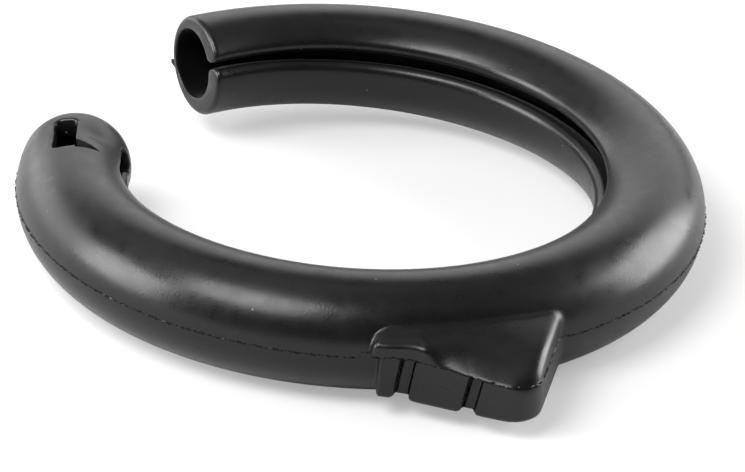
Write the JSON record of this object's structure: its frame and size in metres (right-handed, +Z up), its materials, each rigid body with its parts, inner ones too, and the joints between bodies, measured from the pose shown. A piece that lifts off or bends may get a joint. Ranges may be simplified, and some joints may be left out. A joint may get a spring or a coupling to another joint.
{
  "type": "coil spring end sleeve",
  "caption": "Moulded rubber sleeve for the last turn of a coil spring: an open ring of slit tube, domed shut at one end, open at the other, with a grooved wedge lug on its outer side",
  "frame": {"origin": "on the floor under the middle of the bounding box, as the sleeve lies on a flat floor", "axes": "+Z is up, close to the ring's own axis, which leans 1.8 degrees as the sleeve lies; the open end faces -X; the closed end is at -X +Y of the ring and the lug at -X -Y"},
  "size_m": [0.1336, 0.1456, 0.0256],
  "materials": {
    "rubber": "black, satin, as moulded"
  },
  "bodies": {
    "root": {"spring_sleeve": "rubber"}
  },
  "joints": []
}
